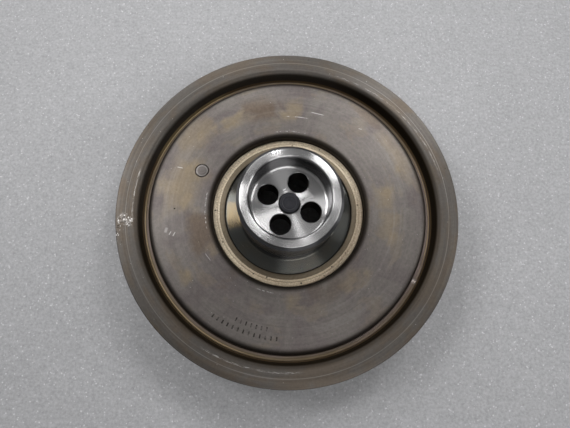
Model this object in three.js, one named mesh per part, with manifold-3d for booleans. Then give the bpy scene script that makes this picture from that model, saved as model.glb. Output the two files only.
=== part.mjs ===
// A crankshaft torsional vibration damper with its crank hub, built from turned and pressed pieces.
// Millimetres, +Z up along the shaft axis. The back face rests on z = 0 and the nose points up.

import * as THREE from "three";
import { mergeVertices } from "three/addons/utils/BufferGeometryUtils.js";
import Module from "manifold-3d";

const wasm = await Module();
wasm.setup();

// ---- driving dimensions ----

// How finely round pieces are divided.
const OUTER_SIDES = 56;
const INNER_SIDES = 40;
const HOLE_SIDES = 20;
const SMALL_SIDES = 12;

// Gap left between pieces that touch on the real damper.
const JOIN_GAP = 0.3;

// Casing: an annular channel with a thick outer wall, a thin back wall and an inner wall.
const CASING_RADIUS = 130;
const RIM_HEIGHT = 40;
const RIM_INNER_RADIUS = 117;
const RIM_ROLL = 3.6;
const GROOVE_WALL_RADIUS = 112.5;
const CAVITY_RADIUS = 109.5;
const CAVITY_FLOOR = 5;
const COVER_LEDGE = 23.7;
const INNER_WALL_OUTSIDE = 58.6;
const INNER_WALL_INSIDE = 49.5;
const INNER_WALL_TOP = 30.9;
const SEAM_POCKET_RADIUS = 55;
const SEAM_POCKET_FLOOR = 24;
const EDGE_CHAMFER = 1;

// Inner flange of the casing, which the hub's plate is screwed to.
const FLANGE_BORE = 35.5;
const FLANGE_BACK = 9;
const FLANGE_FRONT = 18.7;
const SCREW_RECESS_RADIUS = 52;

// Shallow turned recess in the back face.
const BACK_RECESS_INNER = 62;
const BACK_RECESS_OUTER = 108;
const BACK_RECESS_DEPTH = 1;

// Blind holes drilled into the thick outer wall to balance the damper.
const BALANCE_PITCH_RADIUS = 119.5;
const BALANCE_RADIUS = 5;
const BALANCE_DEPTH = 9;
const BALANCE_ANGLES = [202, 210, 218, 52];

// Front cover: one pressed sheet, its edges rolled down to the casing.
const SHEET = 3.5;
const COVER_TOP = 37.4;
const COVER_FOOT_RADIUS = 112.2;
const COVER_FOOT_TOP = 27.5;
const COVER_WALL_RADIUS = 107.2;
const COVER_SHOULDER_RADIUS = 102.2;
const COVER_INNER_RADIUS = 58.9;
const COVER_INNER_ROLL = 3.2;
const COVER_INNER_FOOT = 26;

// Fill plug.
const PLUG_RADIUS = 4.9;
const PLUG_PITCH_RADIUS = 73.7;
const PLUG_ANGLE = 155.5;
const PLUG_CHAMFER = 0.4;

// Weld seams.
const SEAM_CROWN = 0.5;
const OUTER_SEAM_WIDTH = 4.2;
const OUTER_SEAM_HEIGHT = 1.4;

// Crank hub.
const PLATE_RADIUS = 49.2;
const PLATE_TOP = 29;
const PLATE_BOTTOM = 19;
const SPIGOT_RADIUS = 35.2;
const SPIGOT_BOTTOM = 2;
const NOSE_RADIUS = 37.5;
const NOSE_TOP = 73;
const NOSE_CHAMFER = 2.5;
const NOSE_FILLET = 1.5;
const RELIEF_RADIUS = 36.8;
const RELIEF_LOW = 36;
const RELIEF_HIGH = 40;
const CUP_MOUTH_RADIUS = 30;
const CUP_CHAMFER = 1.4;
const CUP_FLOOR = 54.8;
const CUP_FILLET = 2.4;
const REAR_BORE_RADIUS = 30.5;
const BOLT_SEAT = 37;

// Crank bolt holes and the pin in the middle of them.
const BOLT_HOLE_RADIUS = 7.85;
const BOLT_PITCH_RADIUS = 17;
const BOLT_FIRST_ANGLE = 67;
const BOLT_COUNT = 4;
const PIN_RADIUS = 7.5;
const PIN_TOP = 56.5;
const PIN_BOTTOM = 38;
const PIN_CHAMFER = 0.8;
const PIN_DISH_RADIUS = 5.2;
const PIN_DISH_DEPTH = 0.35;

// Screws and dowels between the casing's flange and the hub's plate.
const SCREW_COUNT = 8;
const SCREW_PITCH_RADIUS = 42.5;
const SCREW_SHANK_RADIUS = 4;
const SCREW_HEAD_RADIUS = 6.5;
const SCREW_HEAD_HEIGHT = 7.7;
const SCREW_TIP = 26.8;
const SCREW_SOCKET_RADIUS = 3.6;
const SCREW_SOCKET_DEPTH = 4;
const DOWEL_RADIUS = 3;
const DOWEL_BOTTOM = 9.6;
const DOWEL_TOP = 24.5;
const DOWEL_ANGLES = [22.5, 202.5];

// Inertia ring and its bearings, floating in the casing's cavity.
const RING_BORE = 64;
const RING_RADIUS = 108;
const RING_BOTTOM = 7.8;
const RING_TOP = 31.2;
const RING_STEP = 22;
const RING_STEP_RADIUS = 102.2;
const BUSH_INNER = 59.2;
const BUSH_BOTTOM = 8.4;
const BUSH_TOP = 23.4;
const SLIDE_INNER = 70;
const SLIDE_OUTER = 80;
const REAR_SLIDE_BOTTOM = 5.6;
const FRONT_SLIDE_TOP = 33.3;

// ---- geometry helpers ----

const radians = THREE.MathUtils.degToRad;

// Points of an arc about (r, z), from one angle to another in degrees.
function arc(r, z, radius, from, to, steps) {
  const points = [];
  for (let i = 0; i <= steps; i++) {
    const angle = radians(from + ((to - from) * i) / steps);
    points.push([r + radius * Math.cos(angle), z + radius * Math.sin(angle)]);
  }
  return points;
}

// A solid of revolution about Z from an outline of [radius, height] points, anticlockwise.
function turned(outline, sides) {
  const points = outline.map(([r, z]) => new THREE.Vector2(r, z));
  if (points[0].x > 0) points.push(points[0].clone());
  return new THREE.LatheGeometry(points, sides).rotateX(Math.PI / 2);
}

// A flat ring of rectangular section.
function flatRing(inner, outer, bottom, top, sides) {
  const outline = [
    [inner, bottom],
    [outer, bottom],
    [outer, top],
    [inner, top],
  ];
  return turned(outline, sides);
}

// A cylinder standing on Z between two heights.
function rod(radius, bottom, top, sides) {
  return new THREE.CylinderGeometry(radius, radius, top - bottom, sides)
    .rotateX(Math.PI / 2)
    .translate(0, 0, (bottom + top) / 2);
}

// The same geometry moved out to a pitch radius and turned to an angle about Z.
function onPitch(geometry, pitchRadius, degrees) {
  return geometry.clone().translate(pitchRadius, 0, 0).rotateZ(radians(degrees));
}

function solidFrom(geometry) {
  const bare = geometry.clone();
  bare.deleteAttribute("normal");
  bare.deleteAttribute("uv");
  const merged = mergeVertices(bare, 1e-4);
  const mesh = new wasm.Mesh({
    numProp: 3,
    vertProperties: merged.attributes.position.array,
    triVerts: new Uint32Array(merged.index.array),
  });
  return new wasm.Manifold(mesh);
}

function geometryFrom(solid) {
  const mesh = solid.getMesh();
  const geometry = new THREE.BufferGeometry();
  geometry.setAttribute("position", new THREE.BufferAttribute(mesh.vertProperties, 3));
  geometry.setIndex(new THREE.BufferAttribute(mesh.triVerts, 1));
  const faceted = geometry.toNonIndexed();
  faceted.computeVertexNormals();
  return faceted;
}

// Cuts every tool out of the body.
function drilled(body, tools) {
  let solid = solidFrom(body);
  for (const tool of tools) solid = solid.subtract(solidFrom(tool));
  return geometryFrom(solid);
}

// Angles of pieces spaced evenly round the axis.
function spaced(count, first) {
  return Array.from({ length: count }, (_, i) => first + (360 / count) * i);
}

// ---- pieces ----

function makeCasing() {
  const rollCentre = RIM_HEIGHT - RIM_ROLL;
  const outline = [
    [FLANGE_BORE, FLANGE_BACK],
    [SCREW_RECESS_RADIUS, FLANGE_BACK],
    [SCREW_RECESS_RADIUS, EDGE_CHAMFER],
    [SCREW_RECESS_RADIUS + EDGE_CHAMFER, 0],
    [BACK_RECESS_INNER, 0],
    [BACK_RECESS_INNER + BACK_RECESS_DEPTH, BACK_RECESS_DEPTH],
    [BACK_RECESS_OUTER - BACK_RECESS_DEPTH, BACK_RECESS_DEPTH],
    [BACK_RECESS_OUTER, 0],
    [CASING_RADIUS - EDGE_CHAMFER, 0],
    [CASING_RADIUS, EDGE_CHAMFER],
    [CASING_RADIUS, RIM_HEIGHT - EDGE_CHAMFER],
    [CASING_RADIUS - EDGE_CHAMFER, RIM_HEIGHT],
    ...arc(RIM_INNER_RADIUS, rollCentre, RIM_ROLL, 90, 180, 3),
    [GROOVE_WALL_RADIUS, COVER_FOOT_TOP],
    [GROOVE_WALL_RADIUS, COVER_LEDGE],
    [CAVITY_RADIUS, COVER_LEDGE],
    [CAVITY_RADIUS, CAVITY_FLOOR],
    [INNER_WALL_OUTSIDE, CAVITY_FLOOR],
    [INNER_WALL_OUTSIDE, SEAM_POCKET_FLOOR],
    [SEAM_POCKET_RADIUS, SEAM_POCKET_FLOOR],
    [SEAM_POCKET_RADIUS, INNER_WALL_TOP],
    [INNER_WALL_INSIDE, INNER_WALL_TOP],
    [INNER_WALL_INSIDE, FLANGE_FRONT],
    [FLANGE_BORE, FLANGE_FRONT],
  ];
  const screwHole = rod(SCREW_SHANK_RADIUS + JOIN_GAP, FLANGE_BACK - 1, FLANGE_FRONT + 1, SMALL_SIDES);
  const dowelHole = rod(DOWEL_RADIUS + JOIN_GAP, FLANGE_BACK - 1, FLANGE_FRONT + 1, SMALL_SIDES);
  const balanceHole = rod(BALANCE_RADIUS, -1, BALANCE_DEPTH, SMALL_SIDES);
  const tools = [
    ...spaced(SCREW_COUNT, 0).map((angle) => onPitch(screwHole, SCREW_PITCH_RADIUS, angle)),
    ...DOWEL_ANGLES.map((angle) => onPitch(dowelHole, SCREW_PITCH_RADIUS, angle)),
    ...BALANCE_ANGLES.map((angle) => onPitch(balanceHole, BALANCE_PITCH_RADIUS, angle)),
  ];
  return drilled(turned(outline, OUTER_SIDES), tools);
}

function makeCover() {
  const underside = COVER_TOP - SHEET;
  const shoulder = COVER_WALL_RADIUS - COVER_SHOULDER_RADIUS;
  const innerRollRadius = COVER_INNER_RADIUS + COVER_INNER_ROLL;
  const outline = [
    [COVER_INNER_RADIUS, COVER_INNER_FOOT],
    [COVER_INNER_RADIUS + SHEET, COVER_INNER_FOOT],
    [COVER_INNER_RADIUS + SHEET, underside],
    [COVER_SHOULDER_RADIUS, underside],
    [COVER_WALL_RADIUS - SHEET, COVER_TOP - shoulder],
    [COVER_WALL_RADIUS - SHEET, COVER_FOOT_TOP - SHEET],
    [COVER_FOOT_RADIUS, COVER_FOOT_TOP - SHEET],
    [COVER_FOOT_RADIUS, COVER_FOOT_TOP],
    [COVER_WALL_RADIUS + 0.6, COVER_FOOT_TOP],
    [COVER_WALL_RADIUS, COVER_FOOT_TOP + 0.6],
    ...arc(COVER_SHOULDER_RADIUS, COVER_TOP - shoulder, shoulder, 0, 90, 3),
    ...arc(innerRollRadius, COVER_TOP - COVER_INNER_ROLL, COVER_INNER_ROLL, 90, 180, 3),
  ];
  const plugHole = rod(PLUG_RADIUS + JOIN_GAP, underside - 1, COVER_TOP + 1, HOLE_SIDES);
  return drilled(turned(outline, OUTER_SIDES), [onPitch(plugHole, PLUG_PITCH_RADIUS, PLUG_ANGLE)]);
}

function makeFillPlug() {
  const outline = [
    [0, COVER_TOP - SHEET],
    [PLUG_RADIUS, COVER_TOP - SHEET],
    [PLUG_RADIUS, COVER_TOP - PLUG_CHAMFER],
    [PLUG_RADIUS - PLUG_CHAMFER, COVER_TOP],
    [0, COVER_TOP],
  ];
  return turned(outline, HOLE_SIDES);
}

// Bead in the pocket between the casing's inner wall and the cover's rolled inner edge.
function makeInnerSeam() {
  const inner = SEAM_POCKET_RADIUS + JOIN_GAP;
  const outer = COVER_INNER_RADIUS - JOIN_GAP;
  const outline = [
    [inner, SEAM_POCKET_FLOOR + JOIN_GAP],
    [outer, SEAM_POCKET_FLOOR + JOIN_GAP],
    [outer, INNER_WALL_TOP - SEAM_CROWN],
    [outer - 1, INNER_WALL_TOP],
    [inner + 0.6, INNER_WALL_TOP],
    [inner, INNER_WALL_TOP - SEAM_CROWN],
  ];
  return turned(outline, OUTER_SIDES);
}

// Crowned bead that fills the groove between the cover's foot and the casing's outer wall.
function makeOuterSeam() {
  const outer = COVER_FOOT_RADIUS;
  const bottom = COVER_FOOT_TOP + JOIN_GAP;
  const top = bottom + OUTER_SEAM_HEIGHT;
  const outline = [
    [outer - OUTER_SEAM_WIDTH, bottom],
    [outer, bottom],
    [outer, top - 0.4 * OUTER_SEAM_HEIGHT],
    [outer - 0.3 * OUTER_SEAM_WIDTH, top],
    [outer - 0.7 * OUTER_SEAM_WIDTH, top],
    [outer - OUTER_SEAM_WIDTH, top - 0.4 * OUTER_SEAM_HEIGHT],
  ];
  return turned(outline, OUTER_SIDES);
}

function makeHub() {
  const boreRadius = CUP_MOUTH_RADIUS - CUP_CHAMFER;
  const outline = [
    [REAR_BORE_RADIUS, SPIGOT_BOTTOM],
    [SPIGOT_RADIUS - EDGE_CHAMFER, SPIGOT_BOTTOM],
    [SPIGOT_RADIUS, SPIGOT_BOTTOM + EDGE_CHAMFER],
    [SPIGOT_RADIUS, PLATE_BOTTOM],
    [PLATE_RADIUS, PLATE_BOTTOM],
    [PLATE_RADIUS, PLATE_TOP],
    [NOSE_RADIUS + NOSE_FILLET, PLATE_TOP],
    [NOSE_RADIUS, PLATE_TOP + NOSE_FILLET],
    [NOSE_RADIUS, RELIEF_LOW],
    [RELIEF_RADIUS, RELIEF_LOW],
    [RELIEF_RADIUS, RELIEF_HIGH],
    [NOSE_RADIUS, RELIEF_HIGH],
    [NOSE_RADIUS, NOSE_TOP - NOSE_CHAMFER],
    [NOSE_RADIUS - NOSE_CHAMFER, NOSE_TOP],
    [CUP_MOUTH_RADIUS, NOSE_TOP],
    [boreRadius, NOSE_TOP - CUP_CHAMFER],
    [boreRadius, CUP_FLOOR + CUP_FILLET],
    [boreRadius - 0.3 * CUP_FILLET, CUP_FLOOR + 0.3 * CUP_FILLET],
    [boreRadius - CUP_FILLET, CUP_FLOOR],
    [PIN_RADIUS + JOIN_GAP, CUP_FLOOR],
    [PIN_RADIUS + JOIN_GAP, BOLT_SEAT],
    [REAR_BORE_RADIUS, BOLT_SEAT],
  ];
  const boltHole = rod(BOLT_HOLE_RADIUS, BOLT_SEAT - 1, CUP_FLOOR + 1, HOLE_SIDES);
  const screwHole = rod(SCREW_SHANK_RADIUS + JOIN_GAP, PLATE_BOTTOM - 1, SCREW_TIP + JOIN_GAP, SMALL_SIDES);
  const dowelHole = rod(DOWEL_RADIUS + JOIN_GAP, PLATE_BOTTOM - 1, DOWEL_TOP + JOIN_GAP, SMALL_SIDES);
  const boltAngles = spaced(BOLT_COUNT, BOLT_FIRST_ANGLE);
  const tools = [
    ...boltAngles.map((angle) => onPitch(boltHole, BOLT_PITCH_RADIUS, angle)),
    ...spaced(SCREW_COUNT, 0).map((angle) => onPitch(screwHole, SCREW_PITCH_RADIUS, angle)),
    ...DOWEL_ANGLES.map((angle) => onPitch(dowelHole, SCREW_PITCH_RADIUS, angle)),
  ];
  return drilled(turned(outline, INNER_SIDES), tools);
}

function makeCentrePin() {
  const outline = [
    [0, PIN_BOTTOM],
    [PIN_RADIUS - PIN_CHAMFER, PIN_BOTTOM],
    [PIN_RADIUS, PIN_BOTTOM + PIN_CHAMFER],
    [PIN_RADIUS, PIN_TOP - PIN_CHAMFER],
    [PIN_RADIUS - PIN_CHAMFER, PIN_TOP],
    [PIN_DISH_RADIUS, PIN_TOP],
    [PIN_DISH_RADIUS - PIN_DISH_DEPTH, PIN_TOP - PIN_DISH_DEPTH],
    [0, PIN_TOP - PIN_DISH_DEPTH],
  ];
  return turned(outline, HOLE_SIDES);
}

// Cap screw with its head down and a hexagon socket in the head.
function makeHubScrew() {
  const headTop = FLANGE_BACK - JOIN_GAP;
  const headBottom = headTop - SCREW_HEAD_HEIGHT;
  const outline = [
    [0, headBottom],
    [SCREW_HEAD_RADIUS - 0.5, headBottom],
    [SCREW_HEAD_RADIUS, headBottom + 0.5],
    [SCREW_HEAD_RADIUS, headTop],
    [SCREW_SHANK_RADIUS, headTop],
    [SCREW_SHANK_RADIUS, SCREW_TIP - 1],
    [SCREW_SHANK_RADIUS - 1, SCREW_TIP],
    [0, SCREW_TIP],
  ];
  const socket = rod(SCREW_SOCKET_RADIUS, headBottom - 1, headBottom + SCREW_SOCKET_DEPTH, 6);
  return drilled(turned(outline, SMALL_SIDES), [socket]);
}

function makeDowel() {
  const outline = [
    [0, DOWEL_BOTTOM],
    [DOWEL_RADIUS - 0.4, DOWEL_BOTTOM],
    [DOWEL_RADIUS, DOWEL_BOTTOM + 0.4],
    [DOWEL_RADIUS, DOWEL_TOP - 0.4],
    [DOWEL_RADIUS - 0.4, DOWEL_TOP],
    [0, DOWEL_TOP],
  ];
  return turned(outline, SMALL_SIDES);
}

function makeInertiaRing() {
  const outline = [
    [RING_BORE, RING_BOTTOM],
    [RING_RADIUS, RING_BOTTOM],
    [RING_RADIUS, RING_STEP],
    [RING_STEP_RADIUS, RING_STEP],
    [RING_STEP_RADIUS, RING_TOP],
    [RING_BORE, RING_TOP],
  ];
  return turned(outline, INNER_SIDES);
}

function makeRadialBush() {
  return flatRing(BUSH_INNER, RING_BORE - JOIN_GAP, BUSH_BOTTOM, BUSH_TOP, INNER_SIDES);
}

function makeRearSlideRing() {
  return flatRing(SLIDE_INNER, SLIDE_OUTER, REAR_SLIDE_BOTTOM, RING_BOTTOM - JOIN_GAP, INNER_SIDES);
}

function makeFrontSlideRing() {
  return flatRing(SLIDE_INNER, SLIDE_OUTER, RING_TOP + JOIN_GAP, FRONT_SLIDE_TOP, INNER_SIDES);
}

// ---- materials ----

function metal(color, roughness, metalness = 1) {
  return new THREE.MeshStandardMaterial({ color, roughness, metalness, flatShading: true });
}

const casingSteel = metal(0x6d6860, 0.5);
const coverSteel = metal(0x78706a, 0.5);
const seamSteel = metal(0x9c8a66, 0.55);
const hubSteel = metal(0xb4b6b8, 0.28);
const pinSteel = metal(0x4a4c52, 0.45);
const plugSteel = metal(0x857c76, 0.45);
const screwSteel = metal(0x2b2c2e, 0.5);
const dowelSteel = metal(0xa8a8a6, 0.3);
const castIron = metal(0x4f4c48, 0.65);
const bronze = metal(0x9a7340, 0.4);
const slideRing = metal(0x5a5148, 0.6, 0.3);

// ---- assembly ----

const damper = new THREE.Group();

function place(group, name, geometry, material) {
  const mesh = new THREE.Mesh(geometry, material);
  mesh.name = name;
  group.add(mesh);
  return mesh;
}

place(damper, "damper_casing", makeCasing(), casingSteel);
place(damper, "front_cover", makeCover(), coverSteel);
place(damper, "inner_weld_seam", makeInnerSeam(), seamSteel);
place(damper, "outer_weld_seam", makeOuterSeam(), seamSteel);

const plug = place(damper, "fill_plug", makeFillPlug(), plugSteel);
plug.position.set(
  PLUG_PITCH_RADIUS * Math.cos(radians(PLUG_ANGLE)),
  PLUG_PITCH_RADIUS * Math.sin(radians(PLUG_ANGLE)),
  0,
);

const hub = new THREE.Group();
damper.add(hub);
place(hub, "crank_hub", makeHub(), hubSteel);
place(hub, "centre_pin", makeCentrePin(), pinSteel);

spaced(SCREW_COUNT, 0).forEach((angle, i) => {
  const seat = new THREE.Group();
  seat.rotation.z = radians(angle);
  hub.add(seat);
  const screw = place(seat, "hub_screw_" + (i + 1), makeHubScrew(), screwSteel);
  screw.position.x = SCREW_PITCH_RADIUS;
});

DOWEL_ANGLES.forEach((angle, i) => {
  const seat = new THREE.Group();
  seat.rotation.z = radians(angle);
  hub.add(seat);
  const dowel = place(seat, "dowel_pin_" + (i + 1), makeDowel(), dowelSteel);
  dowel.position.x = SCREW_PITCH_RADIUS;
});

const inertia = new THREE.Group();
damper.add(inertia);
place(inertia, "inertia_ring", makeInertiaRing(), castIron);
place(inertia, "radial_bush", makeRadialBush(), bronze);
place(inertia, "front_slide_ring", makeFrontSlideRing(), slideRing);
place(inertia, "rear_slide_ring", makeRearSlideRing(), slideRing);

export default damper;
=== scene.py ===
"""A sealed crankshaft damper on its crank hub, of turned, pressed and welded steel, worn and heat stained."""

import math

import bpy
from bpy.props import FloatProperty, FloatVectorProperty, IntProperty, PointerProperty
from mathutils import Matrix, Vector


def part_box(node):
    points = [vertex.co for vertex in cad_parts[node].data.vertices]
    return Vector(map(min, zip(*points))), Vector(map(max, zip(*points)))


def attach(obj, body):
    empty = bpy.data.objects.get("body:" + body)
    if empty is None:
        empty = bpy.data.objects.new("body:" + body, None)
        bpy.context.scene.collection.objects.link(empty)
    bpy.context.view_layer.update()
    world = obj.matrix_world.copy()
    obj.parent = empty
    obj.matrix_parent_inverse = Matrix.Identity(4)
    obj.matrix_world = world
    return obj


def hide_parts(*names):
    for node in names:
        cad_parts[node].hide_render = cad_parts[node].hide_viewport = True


bl_info = {
    "name": "Crankshaft Damper",
    "version": (1, 0, 0),
    "blender": (4, 5, 0),
    "location": "3D View > Sidebar > Damper",
    "description": "Builds a crankshaft damper piece by piece around its packed frame",
    "category": "Add Mesh",
}

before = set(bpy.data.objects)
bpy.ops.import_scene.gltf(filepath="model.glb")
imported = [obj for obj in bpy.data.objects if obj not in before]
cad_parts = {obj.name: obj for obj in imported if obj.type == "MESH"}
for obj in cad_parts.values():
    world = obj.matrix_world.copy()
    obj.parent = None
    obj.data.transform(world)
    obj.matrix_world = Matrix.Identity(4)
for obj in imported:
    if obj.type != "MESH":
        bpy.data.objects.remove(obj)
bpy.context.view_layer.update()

CASING_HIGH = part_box("damper_casing")[1]
COVER_LOW, COVER_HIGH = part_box("front_cover")
INNER_SEAM_LOW, INNER_SEAM_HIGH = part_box("inner_weld_seam")
OUTER_SEAM_LOW, OUTER_SEAM_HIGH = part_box("outer_weld_seam")
PLUG_LOW, PLUG_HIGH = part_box("fill_plug")
HUB_LOW, HUB_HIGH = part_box("crank_hub")
PIN_LOW, PIN_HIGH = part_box("centre_pin")
SCREW_LOW, SCREW_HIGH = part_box("hub_screw_1")
DOWEL_LOW, DOWEL_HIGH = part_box("dowel_pin_1")

MM = 0.001

# Vertices nearer to each other than this are one.
MERGE_DISTANCE = 0.002 * MM

# Edges sharper than this stay sharp, in degrees: on machined pieces and on rough beads.
SHARP_EDGE = 32
SHARP_BEAD_EDGE = 60

# A quarter turn lays stretched highlights across the turned tool marks.
ACROSS_TOOL_MARKS = 0.25

PLUG_MIDDLE = ((PLUG_LOW.x + PLUG_HIGH.x) / 2, (PLUG_LOW.y + PLUG_HIGH.y) / 2)

# Angles about the shaft axis, in degrees, of the first crank bolt hole, the first dowel and the balance
# drillings.
BOLT_ANGLE = 67
DOWEL_ANGLE = 22.5
BALANCE_ANGLES = (202, 210, 218, 52)

BOLT_COUNT = 4
SCREW_COUNT = 8
DOWEL_COUNT = 2

SCREW_PITCH = (SCREW_LOW.x + SCREW_HIGH.x) / 2
SOCKET_RADIUS = 3.46 * MM
SOCKET_DEPTH = 4 * MM

# Dents in the rim: radius and angle, then half length, half width and depth, in millimetres and degrees.
RIM_GOUGES = (
    (124.2, 183.6, 1.9, 0.9, 0.30),
    (122.4, 185.2, 1.5, 0.7, 0.25),
    (118.2, 185.8, 1.3, 0.6, 0.20),
    (127.8, 186.4, 1.2, 1.0, 0.45),
    (129.6, 188.6, 2.2, 0.8, 0.70),
    (129.8, 192.4, 1.4, 0.6, 0.50),
    (129.8, -12.0, 0.9, 0.7, 0.60),
)

# Where the rough face of the inner weld starts on the end of the casing's inner wall.
ROUGH_RADIUS = 53.2 * MM

# Where the groove's weld bead ends on itself, in degrees, and how far its end stands over its start.
BEAD_END_ANGLE = -29.7
BEAD_LAP = 0.55 * MM


# ---- sizes and colours a user would change ----


def length(name, description, default):
    return FloatProperty(
        name=name, description=description, default=default, min=0.0, precision=5, unit="LENGTH"
    )


def colour(name, description, default):
    return FloatVectorProperty(
        name=name, description=description, default=default, size=3, min=0.0, max=1.0, subtype="COLOR"
    )


class DamperSizes(bpy.types.PropertyGroup):
    """Sizes of the damper's surfaces that its frame doesn't name."""

    round_steps: IntProperty(
        name="Round Steps",
        description="Steps round the axis on the large turned pieces",
        default=256,
        min=24,
        max=512,
    )
    small_steps: IntProperty(
        name="Small Steps", description="Steps round screws, pins and plugs", default=48, min=12, max=128
    )
    edge_round: length("Edge Round", "Radius of the broken edges on turned pieces", 0.7 * MM)
    rim_inner: length("Rim Inner Radius", "Where the rim's flat face starts to roll inwards", 117 * MM)
    rim_roll: length("Rim Roll", "Radius of the rim's rolled inner edge", 3.9 * MM)
    rim_line: length("Rim Line", "Radius of the fine turned step on the rim", 122.6 * MM)
    groove_wall: length("Groove Wall Radius", "Outer wall of the deep ring groove", 112.5 * MM)
    cavity_radius: length("Cavity Radius", "Outer wall of the fluid chamber", 109.5 * MM)
    cavity_floor: length("Cavity Floor", "Height of the fluid chamber's floor", 5 * MM)
    cover_ledge: length("Cover Ledge", "Height of the ledge that carries the cover's foot", 23.7 * MM)
    inner_wall_outside: length("Inner Wall Outside", "Outer radius of the casing's inner wall", 58.6 * MM)
    inner_wall_inside: length("Inner Wall Inside", "Bore of the casing's inner wall", 49.5 * MM)
    seam_pocket: length("Seam Pocket Radius", "Inner radius of the pocket for the inner weld", 55 * MM)
    flange_bore: length("Flange Bore", "Bore radius of the casing's inner flange", 35.5 * MM)
    flange_back: length("Flange Back", "Height of the flange's back face", 9 * MM)
    flange_front: length("Flange Front", "Height of the flange's front face", 18.7 * MM)
    screw_recess: length("Screw Recess", "Radius of the recess round the screw heads", 52 * MM)
    back_recess_inner: length("Back Recess Inner", "Inner radius of the recess in the back face", 62 * MM)
    back_recess_outer: length("Back Recess Outer", "Outer radius of the recess in the back face", 108 * MM)
    back_recess_depth: length("Back Recess Depth", "Depth of the recess in the back face", 1 * MM)
    balance_pitch: length("Balance Pitch", "Pitch radius of the balance drillings", 119.5 * MM)
    balance_radius: length("Balance Radius", "Radius of the balance drillings", 5 * MM)
    balance_depth: length("Balance Depth", "Depth of the balance drillings", 9 * MM)
    sheet: length("Sheet", "Thickness of the pressed cover", 3.5 * MM)
    cover_wall: length("Cover Wall Radius", "Outside of the cover's rolled outer edge", 107.2 * MM)
    cover_shoulder: length("Cover Shoulder", "Radius of the cover's outer roll", 5 * MM)
    cover_foot_top: length("Cover Foot Top", "Height of the groove's floor", 27.5 * MM)
    cover_bore: length("Cover Bore", "Radius of the cover's inner edge", 58.9 * MM)
    cover_inner_roll: length("Cover Inner Roll", "Radius of the cover's inner roll", 3.2 * MM)
    nose_radius: length("Nose Radius", "Radius of the ground seal journal", 37.5 * MM)
    nose_chamfer: length("Nose Chamfer", "Chamfer at the journal's end", 2.5 * MM)
    relief_radius: length("Relief Radius", "Radius of the grinding relief under the journal", 36.8 * MM)
    relief_low: length("Relief Low", "Lower edge of the grinding relief", 36 * MM)
    relief_high: length("Relief High", "Upper edge of the grinding relief", 40 * MM)
    plate_top: length("Plate Top", "Height of the hub plate's front face", 29 * MM)
    plate_bottom: length("Plate Bottom", "Height of the hub plate's back face", 19 * MM)
    spigot_radius: length("Spigot Radius", "Radius of the hub's rear spigot", 35.2 * MM)
    cup_mouth: length("Cup Mouth", "Radius of the cup's mouth", 30 * MM)
    cup_chamfer: length("Cup Chamfer", "Chamfer inside the cup's mouth", 1.4 * MM)
    cup_floor: length("Cup Floor", "Height of the cup's floor", 54.8 * MM)
    cup_fillet: length("Cup Fillet", "Fillet between the cup's wall and floor", 2.4 * MM)
    rear_bore: length("Rear Bore", "Radius of the bore behind the bolts", 30.5 * MM)
    bolt_seat: length("Bolt Seat", "Height of the face under the bolt heads", 37 * MM)
    bolt_pitch: length("Bolt Pitch", "Pitch radius of the crank bolt holes", 17 * MM)
    bolt_hole: length("Bolt Hole", "Radius of the crank bolt holes", 7.85 * MM)
    screw_shank: length("Screw Shank", "Radius of the hub screws' shanks", 4 * MM)
    piece_gap: length("Piece Gap", "Clearance round screws, pins and plugs", 0.3 * MM)


class DamperColours(bpy.types.PropertyGroup):
    """Colours of the damper's metals and of the stage."""

    cover_grey: colour("Cover Grey", "Bare steel of the cover", (0.188, 0.170, 0.158))
    cover_violet: colour("Cover Violet", "Grey-violet heat stain on the cover", (0.160, 0.140, 0.135))
    cover_tan: colour("Cover Tan", "Straw heat stain on the cover", (0.245, 0.200, 0.145))
    cover_brown: colour("Cover Brown", "Brown heat stain on the cover", (0.147, 0.112, 0.085))
    rim_grey: colour("Rim Grey", "Bare steel of the rim", (0.132, 0.120, 0.109))
    rim_tan: colour("Rim Tan", "Brown stain on the rim", (0.138, 0.115, 0.094))
    # Dark old oil, also used as painted shade in the groove's crevices, under the cover's rolled edges and
    # deep in the bolt holes.
    grime_and_shade: colour("Grime", "Old oil in grooves and corners", (0.022, 0.016, 0.010))
    gold: colour("Gold", "Straw tint in the ring groove", (0.325, 0.247, 0.156))
    bead: colour("Bead", "Rough face of the inner weld", (0.832, 0.715, 0.533))
    seam_brown: colour("Seam Brown", "Smooth face inside the inner weld", (0.176, 0.141, 0.099))
    bright: colour("Bright Steel", "Freshly turned steel of the hub", (0.748, 0.738, 0.738))
    # Dark, as painted shade on the journal's side wall.
    journal: colour("Journal Steel", "Ground steel of the seal journal", (0.109, 0.109, 0.112))
    pin: colour("Pin Steel", "Dark face of the centre pin", (0.030, 0.030, 0.035))
    plug: colour("Plug Steel", "Face of the fill plug", (0.165, 0.148, 0.142))
    black_oxide: colour("Black Oxide", "Finish of the hub's screws", (0.030, 0.030, 0.032))
    bronze: colour("Bronze", "Bearing bronze", (0.500, 0.310, 0.140))
    iron: colour("Iron", "Machined face of the inertia ring", (0.180, 0.170, 0.160))
    floor: colour("Floor", "The plain floor under the damper", (0.412, 0.412, 0.423))


def sizes():
    return bpy.context.scene.damper_sizes


def colours():
    return bpy.context.scene.damper_colours


# ---- mesh tools ----


def start_mesh(name):
    """A new object in edit mode that holds a single vertex at the origin."""
    bpy.ops.object.select_all(action="DESELECT")
    bpy.ops.mesh.primitive_plane_add(size=MM, location=(0, 0, 0))
    piece = bpy.context.object
    piece.name = name
    piece.data.name = name
    bpy.ops.object.mode_set(mode="EDIT")
    bpy.ops.mesh.select_all(action="SELECT")
    bpy.ops.mesh.merge(type="CENTER")
    return piece


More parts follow.
